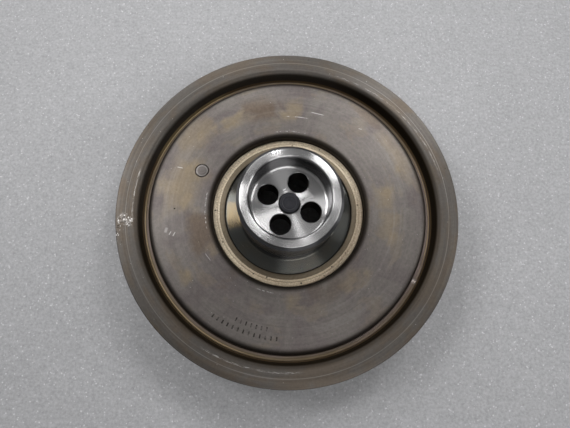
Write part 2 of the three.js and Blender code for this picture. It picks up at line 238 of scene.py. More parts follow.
def draw_outline(outline):
    """Walks the single vertex along an outline of (radius, height) points by extruding it."""
    first = Vector((outline[0][0], 0, outline[0][1]))
    bpy.ops.transform.translate(value=first)
    here = first
    for radius, height in outline[1:]:
        there = Vector((radius, 0, height))
        bpy.ops.mesh.extrude_region_move(TRANSFORM_OT_translate={"value": there - here})
        here = there


def turned(name, outline, steps):
    """A closed solid of revolution about Z. An outline off the axis is closed on itself."""
    piece = start_mesh(name)
    closed = outline[0][0] > 0
    draw_outline(outline + outline[:1] if closed else outline)
    bpy.ops.mesh.select_all(action="SELECT")
    bpy.ops.mesh.remove_doubles(threshold=MERGE_DISTANCE)
    bpy.ops.mesh.select_all(action="SELECT")
    bpy.ops.mesh.spin(steps=steps, angle=math.tau, center=(0, 0, 0), axis=(0, 0, 1))
    bpy.ops.mesh.select_all(action="SELECT")
    bpy.ops.mesh.remove_doubles(threshold=MERGE_DISTANCE)
    bpy.ops.mesh.normals_make_consistent(inside=False)
    bpy.ops.object.mode_set(mode="OBJECT")
    return piece


def arc(radius, height, bend, start, end, steps=8):
    """Points of an arc about (radius, height), its angles in degrees."""
    points = []
    for i in range(steps + 1):
        angle = math.radians(start + (end - start) * i / steps)
        points.append((radius + bend * math.cos(angle), height + bend * math.sin(angle)))
    return points


def select_only(piece):
    bpy.ops.object.select_all(action="DESELECT")
    piece.select_set(True)
    bpy.context.view_layer.objects.active = piece


def move_to(piece, x, y):
    """Moves a piece and applies the move, so that its place is in its mesh."""
    select_only(piece)
    bpy.ops.transform.translate(value=(x, y, 0))
    bpy.ops.object.transform_apply(location=True, rotation=True, scale=True)
    return piece


def turn_about_axis(piece, degrees):
    """Turns a piece about the shaft axis and applies the turn."""
    select_only(piece)
    bpy.ops.transform.rotate(value=-math.radians(degrees), orient_axis="Z", center_override=(0, 0, 0))
    bpy.ops.object.transform_apply(location=True, rotation=True, scale=True)
    return piece


def copy_of(piece, name):
    select_only(piece)
    bpy.ops.object.duplicate()
    twin = bpy.context.object
    twin.name = name
    twin.data.name = name
    return twin


def cut(piece, tools):
    """Cuts closed tools, which are clear of each other, out of a piece and removes them."""
    bpy.ops.object.select_all(action="DESELECT")
    for tool in tools:
        tool.select_set(True)
    bpy.context.view_layer.objects.active = tools[0]
    if len(tools) > 1:
        bpy.ops.object.join()
    select_only(piece)
    bpy.ops.object.modifier_add(type="BOOLEAN")
    modifier = piece.modifiers[-1]
    modifier.operation = "DIFFERENCE"
    modifier.solver = "EXACT"
    modifier.object = tools[0]
    bpy.ops.object.modifier_apply(modifier=modifier.name)
    bpy.data.objects.remove(tools[0])


def drill(radius, low, high, flare, steps):
    """A drill body whose upper end widens by flare, so that the hole gets a broken edge."""
    top = high + flare
    outline = [(0, low), (radius, low), (radius, high - flare), (radius + 2 * flare, top), (0, top)]
    return turned("drill", outline, steps)


def polar(radius, degrees):
    """The (x, y) of a place given by its radius and its angle about the shaft axis."""
    return radius * math.cos(math.radians(degrees)), radius * math.sin(math.radians(degrees))


def flange_drills(s, low, high):
    """Drills for the flange's screws and dowels, up to a height or, with None, just past each one's tip."""
    nodes = ["hub_screw_%d" % (i + 1) for i in range(SCREW_COUNT)]
    nodes += ["dowel_pin_%d" % (i + 1) for i in range(DOWEL_COUNT)]
    drills = []
    for node in nodes:
        bottom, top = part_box(node)
        is_screw = node.startswith("hub_screw")
        shank = s.screw_shank if is_screw else (top.x - bottom.x) / 2
        reach = top.z + s.piece_gap if high is None else high
        hole = drill(shank + s.piece_gap, low, reach, 0.0, s.small_steps)
        drills.append(move_to(hole, (bottom.x + top.x) / 2, (bottom.y + top.y) / 2))
    return drills


def finish_piece(piece, body, replaced, material, angle=SHARP_EDGE):
    """Smooths a piece, gives it its material and ties it to the frame."""
    select_only(piece)
    bpy.ops.object.shade_smooth_by_angle(angle=math.radians(angle))
    piece.data.materials.clear()
    piece.data.materials.append(material)
    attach(piece, body)
    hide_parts(replaced)
    return piece


# ---- shader tools ----


class Wire:
    """A socket in a material's nodes. Arithmetic on numbers adds Math nodes."""

    def __init__(self, tree, socket):
        self.tree = tree
        self.socket = socket

    def math(self, operation, *values):
        return add_node(self.tree, "ShaderNodeMath", {"operation": operation}, dict(enumerate(values)))

    def __add__(self, other):
        return self.math("ADD", self, other)

    def __radd__(self, other):
        return self.math("ADD", other, self)

    def __sub__(self, other):
        return self.math("SUBTRACT", self, other)

    def __rsub__(self, other):
        return self.math("SUBTRACT", other, self)

    def __mul__(self, other):
        return self.math("MULTIPLY", self, other)

    def __rmul__(self, other):
        return self.math("MULTIPLY", other, self)

    def __truediv__(self, other):
        return self.math("DIVIDE", self, other)

    def __pow__(self, other):
        return self.math("POWER", self, other)

    def __abs__(self):
        return self.math("ABSOLUTE", self)

    def capped(self, limit):
        return self.math("MINIMUM", self, limit)


def add_node(tree, kind, settings=None, values=None, output=0):
    """Adds a node, first its settings and then its sockets' values or links, and returns an output."""
    node = tree.nodes.new(kind)
    for key, setting in (settings or {}).items():
        if key == "stops":
            set_stops(node.color_ramp, setting)
        else:
            setattr(node, key, setting)
    for key, value in (values or {}).items():
        socket = node.inputs[key]
        if isinstance(value, Wire):
            tree.links.new(value.socket, socket)
        elif socket.type == "RGBA" and len(value) == 3:
            socket.default_value = (*value, 1.0)
        else:
            socket.default_value = value
    return Wire(tree, node.outputs[output]) if node.outputs else None


def set_stops(ramp, stops):
    while len(ramp.elements) < len(stops):
        ramp.elements.new(1.0)
    for element, (position, value) in zip(ramp.elements, stops):
        element.position = position
        element.color = (value, value, value, 1.0)


class Surface:
    """A metal's node tree with the damper's own coordinates ready for use."""

    def __init__(self, name):
        self.material = bpy.data.materials.new(name)
        self.material.use_nodes = True
        self.tree = self.material.node_tree
        self.tree.nodes.clear()
        self.place = self.add("ShaderNodeTexCoord", output="Object")
        self.x = self.add("ShaderNodeSeparateXYZ", values={0: self.place}, output=0)
        self.y = self.add("ShaderNodeSeparateXYZ", values={0: self.place}, output=1)
        self.z = self.add("ShaderNodeSeparateXYZ", values={0: self.place}, output=2)
        self.radius = (self.x * self.x + self.y * self.y) ** 0.5
        self.angle = self.y.math("ARCTAN2", self.y, self.x) * (180 / math.pi)

    def add(self, kind, settings=None, values=None, output=0):
        return add_node(self.tree, kind, settings, values, output)

    def noise(self, vector, scale, detail=2.0, roughness=0.5, distortion=0.0):
        values = {"Vector": vector, "Scale": scale, "Detail": detail, "Roughness": roughness}
        values["Distortion"] = distortion
        return self.add("ShaderNodeTexNoise", {}, values, "Fac")

    def speckle(self, scale, shift=0.0):
        """Distance to the nearest of many scattered points, from 0 to about 1."""
        moved = {0: self.place, 1: (shift, shift, 0.0)}
        place = self.add("ShaderNodeVectorMath", {"operation": "ADD"}, moved)
        values = {"Vector": place, "Scale": scale}
        return self.add("ShaderNodeTexVoronoi", {"feature": "F1"}, values, "Distance")

    def specks(self, scale, largest, smallest, patch_scale, patch_low, patch_high):
        """Scattered spots, 1 in their middle, that show only in patches."""
        spots = self.step(self.speckle(scale), largest, smallest)
        return spots * self.step(self.noise(self.place, patch_scale), patch_low, patch_high)

    def blend(self, factor, first, second):
        """Mixes two colours. The factor is held between 0 and 1."""
        values = {0: factor, 6: first, 7: second}
        return self.add("ShaderNodeMix", {"data_type": "RGBA"}, values, 2)

    def step(self, value, low, high):
        """Rises smoothly from 0 at low to 1 at high."""
        if low <= high:
            values = {0: value, 1: low, 2: high, 3: 0.0, 4: 1.0}
        else:
            values = {0: value, 1: high, 2: low, 3: 1.0, 4: 0.0}
        return self.add("ShaderNodeMapRange", {"interpolation_type": "SMOOTHSTEP"}, values, 0)

    def band(self, value, centre, half, soft):
        """1 within half of the centre, falling to 0 over soft."""
        return self.step(abs(value - centre), half + soft, half)

    def ring(self, centre, half, soft):
        return self.band(self.radius, centre, half, soft)

    def sector(self, centre, half, soft, wander=0.0):
        """1 within an angle range about the shaft axis, in degrees."""
        away = self.angle - centre + wander
        turn = self.add("ShaderNodeMath", {"operation": "WRAP"}, {0: away, 1: 180.0, 2: -180.0})
        return self.step(abs(turn), half + soft, half)

    def hole_edge(self, x, y, radius, half):
        """1 on a thin ring about an axis at (x, y)."""
        away = ((self.x - x) ** 2 + (self.y - y) ** 2) ** 0.5
        return self.band(away, radius, 0.4 * half, 0.6 * half)

    def bolt_hole_depth(self, size):
        """1 inside the crank bolt holes, below their broken edges."""
        fold = {0: self.angle - BOLT_ANGLE, 1: 180 / BOLT_COUNT, 2: -180 / BOLT_COUNT}
        turn = self.add("ShaderNodeMath", {"operation": "WRAP"}, fold) * (math.pi / 180)
        along = self.radius * turn.math("COSINE", turn) - size.bolt_pitch
        across = self.radius * turn.math("SINE", turn)
        away = (along * along + across * across) ** 0.5
        inside = self.step(away, size.bolt_hole + 0.12 * MM, size.bolt_hole + 0.02 * MM)
        return inside * self.step(self.z, size.cup_floor - 0.2 * MM, size.cup_floor - 0.8 * MM)

    def scaled(self, shade, factor):
        """A colour made lighter or darker by a factor."""
        return self.add("ShaderNodeVectorMath", {"operation": "SCALE"}, {0: shade, 3: factor})

    def lathe_coordinates(self, along, across):
        """Coordinates that run slowly round the axis and fast across it, with no seam."""
        values = {
            0: self.x / self.radius * along,
            1: self.y / self.radius * along,
            2: (self.radius - self.z) * across,
        }
        return self.add("ShaderNodeCombineXYZ", values=values)

    def turning(self, along, across, detail=3.0):
        """Fine concentric tool marks."""
        return self.noise(self.lathe_coordinates(along, across), 1.0, detail, 0.65)

    def hairlines(self, degrees, length_scale, width_scale, keep):
        """Sparse straight scratches that lie at an angle on the flat faces."""
        turn = math.radians(degrees)
        along = self.x * math.cos(turn) + self.y * math.sin(turn)
        across = self.y * math.cos(turn) - self.x * math.sin(turn)
        values = {0: along * length_scale, 1: across * width_scale, 2: 0.37 * degrees}
        lines = self.noise(self.add("ShaderNodeCombineXYZ", values=values), 1.0, 1.0)
        return self.step(lines, keep, keep + 0.03)

    def stroke(self, x, y, degrees, half_length, half_width):
        """One straight nick centred at (x, y)."""
        turn = math.radians(degrees)
        dx = self.x - x
        dy = self.y - y
        along = dx * math.cos(turn) + dy * math.sin(turn)
        across = dy * math.cos(turn) - dx * math.sin(turn)
        return self.band(along, 0.0, 0.6 * half_length, 0.4 * half_length) * self.band(
            across, 0.0, 0.3 * half_width, 0.7 * half_width
        )

    def bump(self, height, distance, strength=1.0, under=None):
        values = {"Height": height, "Distance": distance, "Strength": strength}
        if under is not None:
            values["Normal"] = under
        return self.add("ShaderNodeBump", {}, values, "Normal")

    def finish(self, base, roughness, normal, metallic=1.0, anisotropy=0.0, glow=None):
        """Joins the colours and marks in one shader, and returns the material."""
        values = {
            "Base Color": base,
            "Roughness": roughness,
            "Metallic": metallic,
            "Anisotropic": anisotropy,
            "Anisotropic Rotation": ACROSS_TOOL_MARKS,
            "Normal": normal,
        }
        if glow is not None:
            values.update({"Emission Color": glow, "Emission Strength": 1.0})
        shader = self.add("ShaderNodeBsdfPrincipled", {}, values)
        self.add("ShaderNodeOutputMaterial", {}, {"Surface": shader})
        return self.material


# ---- materials ----


HEAT_STAINS = (
    # azimuth and half width in degrees, radius and half width in millimetres, strength
    (164, 17, 84, 15, 0.95),
    (139, 9, 94, 11, 0.80),
    (119, 9, 83, 7, 0.75),
    (90, 5, 83, 12, 0.90),
    (28, 15, 96, 7, 0.60),
    (4, 8, 74, 8, 0.80),
    (-13, 8, 76, 9, 0.70),
    (211, 5, 67, 5, 0.85),
    (212, 4, 90, 5, 0.75),
    (-86, 7, 70, 6, 0.50),
    (-48, 10, 72, 8, 0.40),
)

BROWN_STAINS = (
    (104, 9, 84, 11, 0.85),
    (196, 14, 70, 10, 0.80),
    (-64, 12, 68, 7, 0.45),
    (50, 10, 102, 5, 0.40),
)

COVER_NICKS = (
    # x and y in millimetres, direction in degrees, half length and half width in millimetres, brightness
    (-92.2, -16.4, 75, 2.4, 1.5, 0.28),
    (-89.1, -18.7, 62, 1.7, 0.50, 0.6),
    (-86.1, -19.4, 62, 2.1, 0.50, 0.6),
    (-60.2, -36.8, 128, 4.0, 0.32, 0.5),
    (24, 79, -14, 6.0, 0.40, 0.8),
    (58, 66, -15, 1.6, 0.35, 0.6),
    (-84.0, 33.0, -12, 2.6, 0.40, 0.7),
)

RUBBED_ARCS = (
    # radius and softness in millimetres, azimuth and half width in degrees
    (63.6, 0.30, 88, 9),
    (63.6, 0.30, 182, 12),
    (76.5, 0.25, 86, 6),
    (64.5, 0.25, -104, 6),
)

TICK_ROWS = (
    # radius in millimetres, azimuth and half width in degrees
    (96.3, -110.5, 15.6),
    (90.4, -107.8, 9.4),
)
TICK_SPACING = 2.45
TICK_START = -127.4

# Angles of the short strokes on the nose's end face, and how far they lean from the radial direction.
NOSE_KNOCKS = (-46, -42.5, -39.5, -37)
KNOCK_LEAN = 14

# Bare steel of nicks and scuffs, also the colour of the painted highlight on the rim's turned line.
BARE_STEEL_AND_HIGHLIGHT = (0.62, 0.60, 0.58)
PIT_BLACK = (0.022, 0.018, 0.015)


def stains(s, places, wander):
    """Adds up soft-edged patches given in polar places, their edges moved by a noise."""
    total = 0.0
    for azimuth, half_turn, radius, half_width, strength in places:
        around = s.sector(azimuth, 0.40 * half_turn, 0.85 * half_turn, wander * 34)
        moved = s.radius + wander * 24 * MM
        across = s.band(moved, radius * MM, 0.30 * half_width * MM, 0.95 * half_width * MM)
        total = around * across * strength + total
    return total.capped(1.0)


def cover_material():
    """Turned and heat-stained sheet, with painted highlights on fine turned rings, and painted shade and old
    oil where it rolls down into the groove.
    """
    s = Surface("worn_cover_steel")
    c = colours()
    size = sizes()
    marks = s.turning(3.0, 2200.0)
    coarse = s.turning(1.5, 420.0, 2.0)
    bands = s.turning(1.3, 130.0, 2.0)
    clouds = s.noise(s.place, 34.0, 5.0, 0.62, 0.5)
    blotches = s.noise(s.lathe_coordinates(3.4, 75.0), 1.0, 3.0, 0.55)
    fine = s.noise(s.place, 520.0, 4.0, 0.7)
    wander = clouds - 0.5
    straw = stains(s, HEAT_STAINS, wander) * (0.35 + blotches * 1.1)
    straw = straw + s.step(blotches, 0.54, 0.64) * 0.28
    brown = stains(s, BROWN_STAINS, wander) + s.step(clouds, 0.60, 0.72) * 0.35
    base = s.blend(s.step(clouds, 0.40, 0.62), c.cover_grey, c.cover_violet)
    base = s.blend(straw, base, c.cover_tan)
    base = s.blend(brown, base, c.cover_brown)
    # Painted highlights on fine turned rings of the cover, shown only over some angles.
    arcs = s.ring(81.4 * MM, 0.4 * MM, 0.7 * MM) * 0.6 + s.ring(86.5 * MM, 0.3 * MM, 0.5 * MM) * 0.45
    arcs = arcs + s.ring(91.4 * MM, 2.2 * MM, 1.4 * MM) * s.step(bands, 0.38, 0.60)
    arcs = arcs * (s.sector(45, 48, 26) + s.sector(-55, 38, 26) + s.sector(170, 20, 20) * 0.7)
    base = s.blend(arcs * 0.14, base, (0.33, 0.315, 0.30))
    tone = 0.22 + marks * 0.34 + coarse * 0.26 + bands * 0.24 + fine * 0.70
    base = s.scaled(base, tone)
    nicks = cover_nicks(s)
    bright = nicks + s.specks(260.0, 0.085, 0.05, 120.0, 0.56, 0.60) * 0.5
    base = s.blend(bright, base, BARE_STEEL_AND_HIGHLIGHT)
    pits = s.step(s.speckle(240.0, 7.0), 0.060, 0.030)
    punched = s.stroke(-86.7 * MM, 0.2 * MM, 0, 0.75 * MM, 0.75 * MM)
    dark = pits * 0.6 + punched + peened_ticks(s)
    base = s.blend(dark, base, PIT_BLACK)
    # Painted shade, mixed with old oil, where the cover rolls down into the groove at both edges and at its
    # foot; the dark ring round the plug's hole is its gap.
    foot = s.step(s.radius, size.cover_wall + 0.1 * MM, size.cover_wall + 0.5 * MM)
    outer_roll = s.step(s.radius, 101.0 * MM, 106.6 * MM) * (1 - foot)
    inner_roll = s.step(s.radius, 63.4 * MM, 60.6 * MM)
    hole = (PLUG_HIGH.x - PLUG_LOW.x) / 2 + size.piece_gap
    plug_edge = s.hole_edge(*PLUG_MIDDLE, hole, 0.35 * MM)
    shade_and_grime = outer_roll * 0.78 + inner_roll * 0.78 + foot * 0.6 + plug_edge * 0.6
    base = s.blend(shade_and_grime, base, c.grime_and_shade)
    rough = 0.39 + clouds * 0.14 + fine * 0.08 - bright * 0.12 + shade_and_grime * 0.08
    height = marks * 0.5 + coarse * 0.5 - dark * 1.5 + nicks * 0.4
    normal = s.bump(height, 0.02 * MM, 0.6)
    return s.finish(base, rough, normal, anisotropy=0.3)


def cover_nicks(s):
    """Bright nicks and rubbed arcs where the cover was knocked."""
    nicks = 0.0
    for x, y, direction, half_length, half_width, brightness in COVER_NICKS:
        nick = s.stroke(x * MM, y * MM, direction, half_length * MM, half_width * MM)
        nicks = nick * brightness + nicks
    rows = 0.0
    for radius, soft, azimuth, half_turn in RUBBED_ARCS:
        rows = s.ring(radius * MM, 0.20 * MM, soft * MM) * s.sector(azimuth, half_turn, 3) * 0.7 + rows
    dashes = s.step(s.turning(34.0, 500.0), 0.50, 0.60)
    return nicks + rows * dashes


def peened_ticks(s):
    """Two arcs of plain peened ticks, spaced like a scale."""
    fold = {0: s.angle - TICK_START, 1: TICK_SPACING / 2}
    tick = s.step(s.add("ShaderNodeMath", {"operation": "PINGPONG"}, fold), 0.40, 0.24)
    worn = s.step(s.noise(s.place, 420.0, 3.0), 0.36, 0.56)
    rows = 0.0
    for radius, azimuth, half_turn in TICK_ROWS:
        rows = s.ring(radius * MM, 1.3 * MM, 0.3 * MM) * s.sector(azimuth, half_turn, 0.1) + rows
    return rows * tick * (0.30 + worn * 0.55)


def casing_material():
    """Turned steel of the rim and walls, brown, with painted shade and old oil that blacken the rim's roll
    and the groove's wall, and painted highlights on the rim and in the groove.
    """
    s = Surface("worn_casing_steel")
    c = colours()
    size = sizes()
    marks = s.turning(4.0, 2200.0)
    coarse = s.turning(1.2, 620.0, 3.0)
    bands = s.turning(0.9, 240.0, 2.0)
    clouds = s.noise(s.place, 22.0, 5.0, 0.62, 0.5)
    blotches = s.noise(s.lathe_coordinates(5.0, 160.0), 1.0, 3.0, 0.6)
    fine = s.noise(s.place, 480.0, 4.0, 0.7)
    base = s.blend(s.step(clouds * 0.5 + blotches * 0.5, 0.44, 0.58), c.rim_grey, c.rim_tan)
    tone = 0.02 + marks * 0.36 + coarse * 0.56 + bands * 0.44 + fine * 0.52
    base = s.scaled(base, tone)
    rim = s.step(s.radius, size.rim_inner - 3 * MM, size.rim_inner - 1 * MM)
    rim = rim * s.step(s.z, CASING_HIGH.z - 1.4 * MM, CASING_HIGH.z - 0.4 * MM)
    # Painted highlight on the rim's fine turned step.
    rim_line = s.ring(size.rim_line, 0.15 * MM, 0.30 * MM) * (coarse * 0.30)
    spiral = s.radius + s.angle * (0.055 * MM)
    chain = s.band(spiral, 121.9 * MM, 0.20 * MM, 0.55 * MM) * s.sector(42, 25, 6) * 0.55
    low_scuffs = s.ring(118.6 * MM, 0.35 * MM, 0.4 * MM) * s.sector(-104, 15, 4)
    side_scuffs = s.ring(117.6 * MM, 0.25 * MM, 0.3 * MM) * s.sector(174, 7, 3)
    scuffs = (chain + low_scuffs * 0.7 + side_scuffs * 0.7) * s.step(s.turning(26.0, 2600.0), 0.47, 0.66)
    specks = s.specks(240.0, 0.080, 0.045, 120.0, 0.54, 0.58)
    bright = (rim_line + scuffs + specks * 0.6) * rim + rim_dent_mask(s)
    base = s.blend(bright, base, BARE_STEEL_AND_HIGHLIGHT)
    nicks = s.step(s.speckle(150.0, 3.0), 0.075, 0.040) * s.step(s.radius, 123 * MM, 128 * MM)
    base = s.blend(nicks * 0.75, base, PIT_BLACK)
    wall_end = s.step(s.radius, size.seam_pocket + 1 * MM, size.seam_pocket + 0.2 * MM)
    wall_end = wall_end * s.step(s.z, 30.2 * MM, 30.7 * MM)
    smooth_grain = s.step(coarse * 0.5 + fine * 0.5, 0.38, 0.62)
    smooth_ring = s.blend(smooth_grain, c.seam_brown, (0.230, 0.190, 0.138))
    skin, skin_height = bead_skin(s)
    ragged = s.radius + (skin_height - 0.7) * 0.6 * MM
    rough_ring = s.step(ragged, ROUGH_RADIUS, ROUGH_RADIUS + 0.3 * MM)
    border = s.ring(ROUGH_RADIUS, 0.08 * MM, 0.12 * MM) * 0.6
    end_colour = s.blend(border, s.blend(rough_ring * 0.92, smooth_ring, skin), c.grime_and_shade)
    base = s.blend(wall_end, base, end_colour)
    # Painted shade on the rim's roll into the groove and on the groove's wall, lighter at the upper left
    # where light falls, mixed with old oil.
    roll = s.step(s.radius, 118.0 * MM, 115.2 * MM) * (0.60 - s.sector(125, 40, 40) * 0.50)
    roll = roll + s.step(s.radius, 114.8 * MM, 113.2 * MM) * 0.50
    wall = roll * s.step(s.radius, 100 * MM, 104 * MM) * s.step(s.z, 20 * MM, 23 * MM)
    base = s.blend(wall, base, c.grime_and_shade)
    tinted = s.step(s.radius, 111 * MM, 112 * MM) * s.step(s.radius, 114 * MM, 113 * MM)
    tinted = tinted * s.step(s.z, 31.2 * MM, 28.6 * MM)
    # A straw tint on the lower part of the groove's outer wall, with a painted golden highlight at the upper
    # left.
    straw = s.blend(s.sector(137, 14, 10), (0.30, 0.215, 0.125), (0.72, 0.58, 0.34))
    base = s.blend(tinted * 0.85, base, straw)
    rough = 0.38 + clouds * 0.14 + fine * 0.08 - bright * 0.12 + wall * 0.20
    rough_face = wall_end * rough_ring
    height = marks * 0.4 + coarse * 0.4 + bands * 0.5 - nicks + rough_face * skin_height * 3.0
    metal = 1 - rough_face * 0.85
    return s.finish(base, rough, s.bump(height, 0.03 * MM, 0.6), metallic=metal, anisotropy=0.45)


def rim_dent_mask(s):
    """Chipped, shiny metal where the rim was struck."""
    struck = s.stroke(-122.0 * MM, -8.6 * MM, -25, 6.5 * MM, 5.2 * MM)
    edge = s.stroke(-126.6 * MM, -16.5 * MM, 82, 10.0 * MM, 1.6 * MM)
    chips = s.step(s.speckle(620.0), 0.46, 0.28) * s.step(s.noise(s.place, 420.0, 3.0), 0.44, 0.54)
    smear = s.step(s.noise(s.place, 260.0, 3.0), 0.42, 0.60) * 0.22
    near_top = s.step(s.z, CASING_HIGH.z - 6 * MM, CASING_HIGH.z - 3 * MM)
    return (struck * (chips * 0.9 + smear) + edge * chips * 0.8) * near_top


def bead_skin(s):
    """Colour and height of a rough, cross-rippled and straw-coloured weld face, with painted glints."""
    c = colours()
    ripple = s.noise(s.lathe_coordinates(60.0, 700.0), 1.0, 3.0, 0.6)
    grain = s.noise(s.place, 1100.0, 4.0, 0.7)
    clouds = s.noise(s.place, 60.0, 3.0)
    base = s.blend(s.step(ripple * 0.45 + grain * 0.55, 0.40, 0.60), (0.50, 0.41, 0.29), c.bead)
    base = s.blend(s.step(clouds, 0.45, 0.7) * 0.4, base, (0.52, 0.42, 0.30))
    base = s.blend(s.sector(-60, 50, 40) * 0.45, base, (0.42, 0.31, 0.20))
    pits = s.specks(230.0, 0.20, 0.12, 90.0, 0.48, 0.55)
    base = s.blend(pits, base, (0.05, 0.038, 0.026))
    # Painted glints on the weld's rough grain, strongest at one side.
    painted_glints = s.step(grain, 0.60, 0.68) * (0.35 + s.sector(-60, 45, 25))
    base = s.blend(painted_glints, base, (0.95, 0.88, 0.70))
    return base, ripple * 0.6 + grain * 0.9 - pits


def seam_material():
    """The rough face of the inner weld, with painted shade where it meets the cover."""
    s = Surface("weld_bead")
    base, height = bead_skin(s)
    # Painted shade under the cover's rolled inner edge.
    base = s.blend(s.step(s.radius, 58.2 * MM, 58.6 * MM), base, colours().grime_and_shade)
    return s.finish(base, 0.50 + height * 0.1, s.bump(height, 0.16 * MM), metallic=0.1)


def groove_seam_material():
    """Smooth straw and rose-tinted bead in the ring groove, with painted golden highlights and painted shade
    along its edges.
    """
    s = Surface("groove_seam")
    c = colours()
    streak = s.turning(2.5, 2600.0)
    clouds = s.turning(2.0, 60.0)
    near_end = s.sector(-8, 15, 20)
    rose = s.blend(streak, (0.50, 0.40, 0.36), (0.30, 0.235, 0.205))
    tan = s.blend(streak, c.gold, (0.28, 0.22, 0.15))
    side = s.step(s.radius, 110.2 * MM, 108.6 * MM)
    mixed = s.step(clouds, 0.42, 0.62) * 0.5 + side * 0.5 + near_end * 0.7
    base = s.blend(mixed, tan, rose)
    # Painted golden highlights along the bead's outer side, in a few sectors and faintly all round.
    highlight_arcs = s.sector(214, 26, 25) * 0.75 + s.sector(0, 16, 14) * 0.65
    highlight_arcs = highlight_arcs + s.sector(137, 16, 12) * 0.85 + 0.15
    golden_highlight = s.ring(110.9 * MM, 0.12 * MM, 0.40 * MM) * highlight_arcs
    base = s.blend(golden_highlight, base, (0.75, 0.57, 0.32))
    # Painted shade in the crevices where the bead meets the cover's wall and the casing's wall, with old oil.
    inner_edge = s.step(s.radius, 108.5 * MM, 108.0 * MM)
    outer_edge = s.step(s.radius, 111.7 * MM, 112.2 * MM)
    base = s.blend(inner_edge * 0.8 + outer_edge * 0.7, base, c.grime_and_shade)
    burr = s.sector(BEAD_END_ANGLE, 0.8, 0.5)
    base = s.blend(burr * 0.6, base, (0.42, 0.38, 0.36))
    normal = s.bump(s.turning(40.0, 900.0), 0.03 * MM, 0.6)
    return s.finish(base, 0.33 + clouds * 0.12, normal, metallic=0.5, anisotropy=0.5)


def hub_material():
    """Bright turned faces, a ground journal and an oily plate, with painted shade on the journal's side and
    chamfer, on the cup's wall and in the bolt holes.
    """
    s = Surface("bright_turned_steel")
    c = colours()
    size = sizes()
    marks = s.turning(2.0, 5200.0)
    coarse = s.turning(1.0, 900.0, 2.0)
    clouds = s.noise(s.place, 60.0, 4.0, 0.6)
    tone = 0.84 + marks * 0.14 + coarse * 0.10
    base = s.scaled(c.bright, tone)
    # Painted shade: the journal's side wall is given a dark steel colour.
    side = s.step(s.radius, size.nose_radius - 2.2 * MM, size.nose_radius - 1.7 * MM)
    side = side * s.step(s.z, size.plate_top + 1.0 * MM, size.plate_top + 1.6 * MM)
    base = s.blend(side, base, c.journal)
    above_floor = s.step(s.z, size.cup_floor + 0.5 * MM, size.cup_floor + 2.2 * MM)
    below_end = s.step(s.z, HUB_HIGH.z - 0.5 * MM, HUB_HIGH.z - 1.0 * MM)
    cup_wall = s.step(s.radius, size.cup_mouth - 4.5 * MM, size.cup_mouth - 2.5 * MM)
    cup_wall = cup_wall * s.step(s.radius, size.cup_mouth + 1.5 * MM, size.cup_mouth + 0.8 * MM)
    cup_wall = cup_wall * above_floor * below_end
    chamfer = s.step(s.radius, size.nose_radius - 2.5 * MM, size.nose_radius - 2.1 * MM) * above_floor
    # Painted shade on the cup's wall and on the journal's outer chamfer.
    base = s.blend(cup_wall * 0.9, base, (0.075, 0.075, 0.080))
    base = s.blend(chamfer, base, (0.16, 0.16, 0.165))
    plate = s.step(s.z, size.plate_top + 1.2 * MM, size.plate_top + 0.4 * MM)
    plate = plate * s.step(s.radius, size.spigot_radius, size.spigot_radius + 1.0 * MM)
    oily = s.blend(s.step(clouds, 0.4, 0.7), (0.150, 0.153, 0.144), (0.170, 0.160, 0.136))
    base = s.blend(plate, base, oily)
    straw = s.sector(184, 11, 5) * s.step(s.radius, 48.8 * MM, 47.2 * MM)
    straw = straw * (0.55 + s.step(clouds, 0.30, 0.55) * 0.45)
    base = s.blend(plate * straw * 0.8, base, (0.31, 0.235, 0.135))
    # Painted shade deep in the bolt holes.
    base = s.blend(s.bolt_hole_depth(size) * 0.97, base, c.grime_and_shade)
    knocks = 0.0
    for degrees in NOSE_KNOCKS:
        knocks = s.stroke(*polar(33 * MM, degrees), degrees + KNOCK_LEAN, 1.7 * MM, 0.34 * MM) + knocks
    end_face = s.step(s.z, HUB_HIGH.z - 1.0 * MM, HUB_HIGH.z - 0.2 * MM)
    base = s.blend(knocks * end_face, base, (0.95, 0.95, 0.95))
    pits = s.step(s.speckle(160.0), 0.060, 0.035)
    base = s.blend(pits * 0.7, base, (0.08, 0.07, 0.06))
    rear = s.step(s.radius, size.spigot_radius, size.spigot_radius - 1 * MM)
    rear = rear * s.step(s.z, size.bolt_seat + 1.0 * MM, size.bolt_seat - 0.4 * MM)
    base = s.blend(rear * 0.6, base, (0.16, 0.15, 0.14))
    rough = 0.24 + clouds * 0.02 + marks * 0.03
    normal = s.bump(marks * 0.7 + coarse * 0.5, 0.010 * MM, 0.5)
    return s.finish(base, rough, normal, anisotropy=1.0)


def pin_material():
    """Dark hardened pin with a polished ring."""
    s = Surface("dark_pin_steel")
    c = colours()
    grain = s.noise(s.place, 900.0, 4.0, 0.6)
    base = s.blend(s.step(grain, 0.35, 0.7), c.pin, (0.045, 0.045, 0.050))
    ring = s.ring(5.15 * MM, 0.12 * MM, 0.15 * MM) * (0.4 + grain)
    base = s.blend(ring * 0.6, base, (0.16, 0.16, 0.17))
    return s.finish(base, 0.42 + grain * 0.15, s.bump(grain, 0.02 * MM, 0.6), metallic=0.9)


def plug_material():
    """Pressed plug, brushed one way."""
    s = Surface("plug_steel")
    c = colours()
    brushed = s.hairlines(15, 300.0, 5000.0, 0.5)
    grain = s.noise(s.place, 600.0, 3.0)
    base = s.blend(brushed * 0.3, s.blend(grain, c.plug, (0.135, 0.118, 0.108)), (0.24, 0.225, 0.215))
    base = s.blend(s.hole_edge(*PLUG_MIDDLE, 3.9 * MM, 0.35 * MM) * 0.6, base, (0.33, 0.315, 0.30))
    return s.finish(base, 0.34 + grain * 0.12, s.bump(brushed + grain, 0.01 * MM, 0.6))


